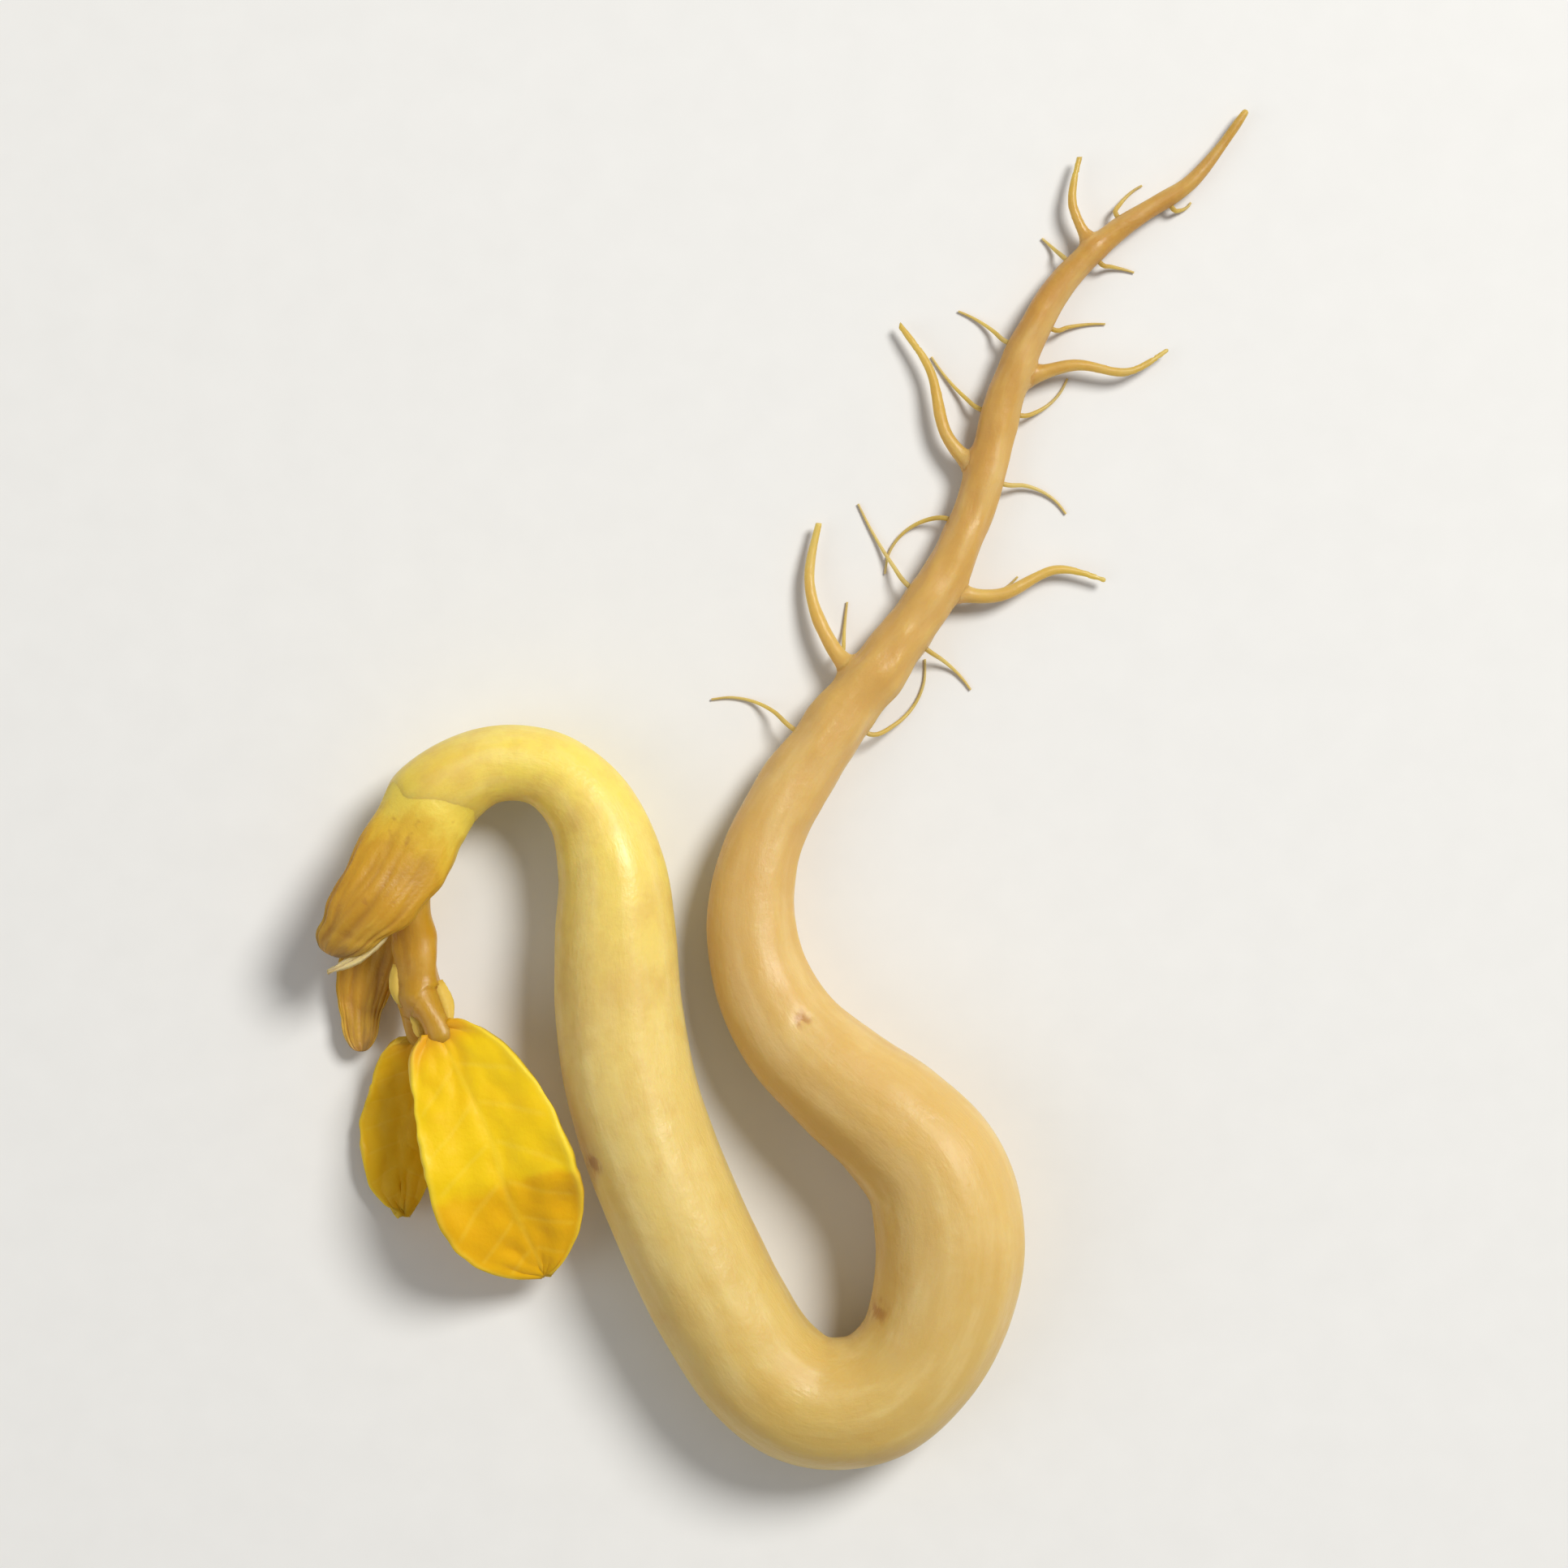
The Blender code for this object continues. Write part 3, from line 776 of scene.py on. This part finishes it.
# %% [markdown]
# ## The upper and the lower half
#
# The upper half runs on from the top of the hook's end, with its dome up and its tip slanted. The lower
# one lies under it with its dome down, and its tip shows past it. Both spines follow those of the CAD
# nodes, with the foot carried on into the stem.

# %% Two seed halves
UPPER_SPINE = (
    (-7.85, 1.32, 1.55), (-8.52, 0.62, 1.66), (-9.10, -0.34, 2.00),
    (-9.68, -1.28, 2.46), (-10.30, -2.10, 2.46), (-10.86, -2.74, 2.10),
)
LOWER_SPINE = (
    (-8.90, 0.00, 1.20), (-9.40, -1.00, 0.76), (-9.90, -2.30, 0.54),
    (-10.28, -3.70, 0.50), (-10.30, -5.10, 0.54),
)
seed_upper = seed_half("seed_half_upper", UPPER_SPINE, width=2.56, foot_thickness=1.98, thickness=1.05,
                       dome=1.0, slant=0.40, shift=11.0)
seed_lower = seed_half("seed_half_lower", LOWER_SPINE, width=1.8, foot_thickness=1.10, thickness=1.0,
                       dome=-1.0, slant=0.0, shift=23.0)
print("seed halves:", len(seed_upper.data.polygons), "faces each")

# %% [markdown]
# ## The finish of the seed halves
#
# The skin of a spent seed half is leathery: golden tan, paler and yellower at the foot, with red-brown
# flecks, and greyish black at the dry tip; the folds are painted darker, a painted shade. The share of the
# length and the depth of the folds were stored while modelling, so the colours can follow both.

# %% The seed halves' material
seed_paint = Paint("seed_half_skin", Subsurface_Weight=0.25, Subsurface_Radius=(1.0, 0.6, 0.2),
                   Subsurface_Scale=0.0009, Specular_IOR_Level=0.4, IOR=1.40)
mottle = seed_paint.noise(seed_paint.attribute("grain", "Vector"), 2.2, stretch=(1, 1, 0.5), detail=5.0)
wander = seed_paint.combine(seed_paint.attribute("share"), "ADD",
                            seed_paint.spread(mottle, 0.2, 0.8, -0.08, 0.08))
by_share = seed_paint.ramp(wander, (
    (0.20, (0.83, 0.62, 0.090)), (0.36, (0.71, 0.45, 0.042)), (0.50, (0.57, 0.31, 0.024)),
    (0.74, (0.54, 0.285, 0.025)), (0.88, (0.57, 0.325, 0.038)), (0.95, (0.45, 0.25, 0.045)),
    (1.00, (0.26, 0.15, 0.045)),
))
pale = seed_paint.mix(seed_paint.spread(mottle, 0.50, 0.78, 0.0, 0.32), by_share, (0.78, 0.52, 0.07))
# Darker with the depth of each fold: painted shade in the creases.
painted_fold_shade = seed_paint.mix(seed_paint.spread(seed_paint.attribute("crease"), 0.15, 1.0, 0.0, 0.70), pale,
                          (0.33, 0.15, 0.022))
fleck_noise = seed_paint.noise(seed_paint.object_place(), 2600.0, detail=2.0)
flecked = seed_paint.mix(seed_paint.spread(fleck_noise, 0.64, 0.78, 0.0, 0.45), painted_fold_shade,
                         (0.36, 0.15, 0.03))
pores = seed_paint.noise(seed_paint.object_place(), 9000.0, detail=3.0)
seed_paint.bump(((mottle, 0.05), (pores, 0.012)))
for half in (seed_upper, seed_lower):
    seed_paint.put_on(half, flecked, seed_paint.spread(mottle, 0.3, 0.7, 0.38, 0.58))
print("seed material has", len(seed_paint.nodes), "nodes")

# %% [markdown]
# ## The veins of a leaf
#
# A bean's leaf has one midrib, and side veins run forward from it in pairs. They could be curves laid on
# the blade, but they are sunk in it and only just show, so a pattern is enough: it says how much each
# place on the blade belongs to a vein. The shape and the colour will both use it.

# %% Where the veins are
VEIN_PAIRS = 7
VEIN_SLANT = 0.16
VEIN_FINENESS = 0.010
MIDRIB_WIDTH = 0.07


def veins_at(share, beside, narrowness):
    """Two patterns that are 1 on a vein and 0 off it: all the veins, and the midrib by itself."""
    phase = (share - VEIN_SLANT * beside * narrowness) * VEIN_PAIRS
    side_vein = np.exp(-((((phase + 0.5) % 1.0) - 0.5) ** 2) / VEIN_FINENESS)
    side_vein *= ramp(beside, 0.02, 0.12) * (1 - ramp(beside, 0.8, 0.98))
    midrib = np.exp(-((beside / MIDRIB_WIDTH) ** 2))
    return np.maximum(side_vein, midrib), midrib


print("pairs of side veins on a leaf:", VEIN_PAIRS)

# %% [markdown]
# ## The first leaves
#
# The leaves are thin and bright yellow, because they grew without light, and the upper one is already
# broad. Each is folded along its midrib and has a waved edge. A leaf starts as a grid whose length
# follows the midrib's route. Its outline, fold and veins are moves of the grid's points, and Solidify
# then gives the blade its thickness.

# %% A leaf, from a grid to a veined blade
TIP_SHARE = 0.06  # the least width at the tip, as a share of the widest
VEIN_DEPTH = 0.010


def leaf(name, midrib, half_width, widest, fold, wave, waves, shift,
         thickness=0.20, foot=0.22, fine=(110, 40)):
    """Shapes one blade; foot is the least width there, as a share of the widest."""
    bpy.ops.object.select_all(action="DESELECT")
    bpy.ops.mesh.primitive_grid_add(x_subdivisions=fine[0], y_subdivisions=fine[1], size=2.0)
    blade = bpy.context.object
    blade.name = blade.data.name = name
    flat = points_of(blade) * MM
    share = 0.5 + 0.5 * flat[:, 0]
    out = flat[:, 1]
    here, ahead, side, upward = frame_along(midrib, share)
    ends = foot * (1 - share) + TIP_SHARE * share
    swell = np.sin(math.pi * share ** (math.log(0.5) / math.log(widest)))
    outline = np.maximum(ends, np.maximum(swell, 0) ** np.where(share < widest, 0.24, 0.70))
    edge_place = np.column_stack([share * 14, np.sign(out) * 3, 0 * out])
    ragged = 1 + 0.05 * noise_at(edge_place, (1, 1, 1), shift)
    reach = outline * half_width * ragged
    beside = np.abs(out)
    ripple = wave * np.sin(2 * math.pi * waves * share + 1.3 * np.sign(out)) * out**2
    rise = fold * beside**1.4 * reach / half_width + ripple
    vein, rib = veins_at(share, beside, reach / half_width)
    pillow = noise_at(np.column_stack([share * 9, out * 3, 0 * out]), (1, 1, 1), shift + 6) * 0.05
    rise = rise + pillow * half_width * (1 - rib) - VEIN_DEPTH * vein
    points = here + side * (out * reach)[:, None] + upward * rise[:, None]
    set_points(blade, points)
    keep_attribute(blade, "share", share)
    keep_attribute(blade, "beside", beside)
    keep_attribute(blade, "vein", vein)
    finish_with(blade, "SOLIDIFY", thickness=thickness * MM, offset=0.0)
    bpy.ops.object.shade_smooth()
    return blade


print("the tip of a leaf keeps", TIP_SHARE, "of its width")

# %% [markdown]
# ## The upper and the lower leaf
#
# The upper leaf rises from its stalk, arches over and bends down at its end. The lower one is smaller,
# lies close to the floor, and folds the other way. Both midribs follow those of the CAD nodes, with the
# foot carried on into the stalk.

# %% Two first leaves
UPPER_MIDRIB = (
    (-8.42, -4.50, 1.94), (-7.62, -5.86, 2.34), (-7.08, -7.06, 2.46),
    (-6.72, -8.28, 2.32), (-6.28, -9.38, 1.74), (-5.90, -10.32, 1.04),
)
LOWER_MIDRIB = (
    (-8.88, -4.80, 1.02), (-8.98, -6.05, 0.70), (-9.22, -7.00, 0.60),
    (-9.36, -8.00, 0.58), (-9.28, -9.00, 0.62),
)
leaf_upper = leaf("first_leaf_upper", UPPER_MIDRIB, half_width=1.74, widest=0.62, fold=0.24,
                  wave=0.08, waves=2.5, shift=31.0)
leaf_lower = leaf("first_leaf_lower", LOWER_MIDRIB, half_width=1.12, widest=0.48, fold=-0.10,
                  wave=0.08, waves=3.0, shift=47.0)
print("a leaf has", len(leaf_upper.data.polygons), "faces")

# %% [markdown]
# ## Bud, scales and torn skin
#
# Between the two leaf stalks sits the next bud, a pair of tiny folded leaves, and at its foot two
# pointed scales wrap the stalk like a collar. A pale shred of dried skin curls from the edge of the
# upper seed half. All three are thin folded blades, so they come from the same leaf function with other
# sizes.

# %% Small blades from the same function
small = {"widest": 0.40, "wave": 0.01, "waves": 2.0, "thickness": 0.12, "fine": (36, 16)}
SMALL_BLADES = (  # name and midrib, then half width, fold, the foot's share of the width, noise shift
    ("bud_leaf_left", ((-8.90, -3.90, 1.60), (-8.87, -4.34, 1.72), (-8.78, -4.74, 1.70)),
     (0.13, -0.05, 0.22, 53.0)),
    ("bud_leaf_right", ((-8.80, -3.92, 1.50), (-8.76, -4.38, 1.50), (-8.74, -4.80, 1.46)),
     (0.13, -0.06, 0.22, 57.0)),
    ("stalk_scale_left", ((-9.30, -3.00, 1.54), (-9.36, -3.50, 1.60), (-9.22, -3.98, 1.64)),
     (0.15, -0.12, 0.80, 61.0)),
    ("stalk_scale_right", ((-8.46, -3.40, 1.60), (-8.22, -3.92, 1.76), (-8.10, -4.42, 1.90)),
     (0.18, -0.14, 0.80, 67.0)),
    ("seed_skin_shred", ((-9.50, -2.16, 2.38), (-10.14, -2.74, 2.26), (-10.92, -3.16, 2.06)),
     (0.13, 0.05, 0.50, 71.0)),
)
small_blades = []
for name, midrib, (half_width, fold, foot, shift) in SMALL_BLADES:
    small_blades.append(leaf(name, midrib, half_width, fold=fold, shift=shift, foot=foot, **small))
*buds_and_scales, skin_shred = small_blades
print("small blades:", [blade.name for blade in small_blades])

# %% [markdown]
# ## The finish of the leaves
#
# The blades are so thin that light comes through them, which makes the yellow glow. The veins are paler,
# the foot is orange where the leaf bends from its stalk, and patches turn golden. Past its bend the upper
# leaf is painted darker, a painted shade, and the lower leaf is a darker copy of the same yellow, painted
# shade too. The rim of every blade is paler, a painted highlight along the edge. A velvety, nearly matte
# skin keeps the highlight broad.

# %% The leaves' materials


def leaf_material(name, foot, middle, tip, patch, vein_colour, turns=(0.75, 1.0)):
    paint = Paint(name, Subsurface_Weight=0.30, Subsurface_Radius=(1.0, 0.8, 0.15),
                  Subsurface_Scale=0.0006, Specular_IOR_Level=0.28, IOR=1.38)
    wander = paint.noise(paint.object_place(), 700.0, detail=2.0)
    place = paint.combine(paint.attribute("share"), "ADD", paint.spread(wander, 0.2, 0.8, -0.025, 0.025))
    by_share = paint.ramp(place, ((0.0, foot), (0.14, middle), (turns[0], middle), (turns[1], tip)))
    cloud = paint.noise(paint.object_place(), 620.0, detail=4.0)
    patched = paint.mix(paint.spread(cloud, 0.48, 0.72, 0.0, 0.65), by_share, patch)
    veined = paint.mix(paint.spread(paint.attribute("vein"), 0.25, 1.0, 0.0, 0.14), patched, vein_colour)
    # The pale rim is a painted highlight along the edge of the blade.
    painted_edge_highlight = paint.mix(paint.spread(paint.attribute("beside"), 0.88, 1.0, 0.0, 0.34), veined, vein_colour)
    fine_cells = paint.noise(paint.object_place(), 7000.0, detail=3.0)
    paint.bump(((cloud, 0.04), (fine_cells, 0.010)))
    return paint, painted_edge_highlight, paint.spread(fine_cells, 0.3, 0.7, 0.40, 0.56)


# For this leaf the colour turns darker from 0.57 to 0.61 of its length: painted shade where the leaf bends
# down.
bright = leaf_material("bright_leaf", foot=(0.76, 0.36, 0.015), middle=(0.92, 0.60, 0.008),
                       tip=(0.84, 0.45, 0.006), patch=(0.84, 0.49, 0.006), vein_colour=(0.96, 0.74, 0.10),
                       turns=(0.57, 0.61))
# The lower leaf's darker yellow is a shaded copy of the upper leaf's: painted shade.
golden = leaf_material("golden_leaf_in_painted_shade", foot=(0.70, 0.38, 0.020), middle=(0.78, 0.46, 0.008),
                       tip=(0.72, 0.41, 0.010), patch=(0.66, 0.36, 0.008), vein_colour=(0.88, 0.64, 0.09))
fleshy = leaf_material("stalk_scale", foot=(0.62, 0.36, 0.045), middle=(0.72, 0.47, 0.085),
                       tip=(0.64, 0.38, 0.055), patch=(0.58, 0.33, 0.050), vein_colour=(0.82, 0.60, 0.16))
dry = leaf_material("dry_shred", foot=(0.70, 0.48, 0.15), middle=(0.82, 0.63, 0.28),
                    tip=(0.78, 0.56, 0.22), patch=(0.66, 0.42, 0.12), vein_colour=(0.88, 0.74, 0.42))
for blades, (paint, colour, rough) in (
    ((leaf_upper,), bright),
    ((leaf_lower,), golden),
    (buds_and_scales, fleshy),
    ((skin_shred,), dry),
):
    for blade in blades:
        paint.put_on(blade, colour, rough)
print("leaf materials:", [m[0].material.name for m in (bright, golden, fleshy, dry)])

# %% [markdown]
# ## Riding and replacing
#
# The sprout has no joint, so every piece rides on the one body. Each piece's node and slot are printed,
# and a node that a piece stands for is no longer shown.

# %% Attach every piece, and hide the nodes that they replace
for piece, slot, node in (
    (stem, "stem", "stem_and_root"),
    (fine_roots, "stem", None),
    (seed_upper, "cotyledon", "cotyledon_upper"),
    (seed_lower, "cotyledon", "cotyledon_lower"),
    (leaf_upper, "leaf", "leaf_upper"),
    (leaf_lower, "leaf", "leaf_lower"),
    *((blade, "leaf", None) for blade in buds_and_scales),
    (skin_shred, "cotyledon", None),
):
    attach(piece, "root")
    if node:
        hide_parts(node)
    print(piece.name, "rides on root, slot", slot, "for", node)

# %% [markdown]
# ## The floor
#
# The sprout lies on a plain pale board. One large plane is enough, with a matt finish whose faint tooth
# keeps it from looking like a screen.

# %% The floor
bpy.ops.object.select_all(action="DESELECT")
bpy.ops.mesh.primitive_plane_add(size=1.6, location=(0, 0, 0))
floor = bpy.context.object
floor.name = "floor"
floor_paint = Paint("floor_paper", Specular_IOR_Level=0.2)
tooth = floor_paint.noise(floor_paint.object_place(), 900.0, detail=2.0)
floor_paint.put_on(floor, floor_paint.mix(tooth, (0.80, 0.80, 0.79), (0.84, 0.84, 0.83)),
                   floor_paint.spread(tooth, 0.3, 0.7, 0.75, 0.9))
print("floor:", tuple(round(x, 2) for x in floor.dimensions))

# %% [markdown]
# ## Light
#
# The photograph was taken in soft light. A round area light from the upper right models the stem and
# gives it one long highlight, a weaker one from the left keeps the shaded side readable, and a pale sky
# fills the shadows. A sun would be simpler, but its hard shadows would hide the leaves.

# %% Lights and sky


def soft_light(name, place, size, power, colour):
    lamp = bpy.data.lights.new(name, "AREA")
    lamp.shape = "DISK"
    lamp.size = size
    lamp.energy = power
    lamp.color = colour
    holder = bpy.data.objects.new(name, lamp)
    holder.location = place
    holder.rotation_euler = (-Vector(place)).to_track_quat("-Z", "Y").to_euler()
    bpy.context.scene.collection.objects.link(holder)


SKY_STRENGTH = 0.27

soft_light("key", (0.16, 0.14, 0.24), size=0.12, power=0.96, colour=(1.0, 0.98, 0.94))
soft_light("fill", (-0.24, -0.05, 0.20), size=0.25, power=0.16, colour=(1.0, 0.99, 0.97))
world = bpy.data.worlds.new("studio")
bpy.context.scene.world = world
world.use_nodes = True
sky = world.node_tree.nodes["Background"]
sky.inputs["Color"].default_value = (1.0, 0.99, 0.97, 1.0)
sky.inputs["Strength"].default_value = SKY_STRENGTH
bpy.context.scene.view_settings.view_transform = "Standard"

# %% [markdown]
# ## The camera
#
# The camera looks straight down, as the photograph was taken, with the top of the photograph towards
# +Y. A long lens keeps the high parts from leaning outwards, and the height follows from the part's
# length, so that the sprout fills most of the picture.

# %% The camera
low, high = (Vector(corner) for corner in cad_box)
middle = (low + high) / 2
lens, sensor, share_of_frame = 100.0, 36.0, 0.86
frame_width = (high.y - low.y) / share_of_frame
eye = bpy.data.cameras.new("camera")
eye.lens = lens
eye.sensor_width = sensor
eye.clip_start = 0.001
camera = bpy.data.objects.new("camera", eye)
camera.location = (middle.x, middle.y, frame_width * lens / sensor)
bpy.context.scene.collection.objects.link(camera)
bpy.context.scene.camera = camera
print("camera height:", round(camera.location.z, 4), "m")
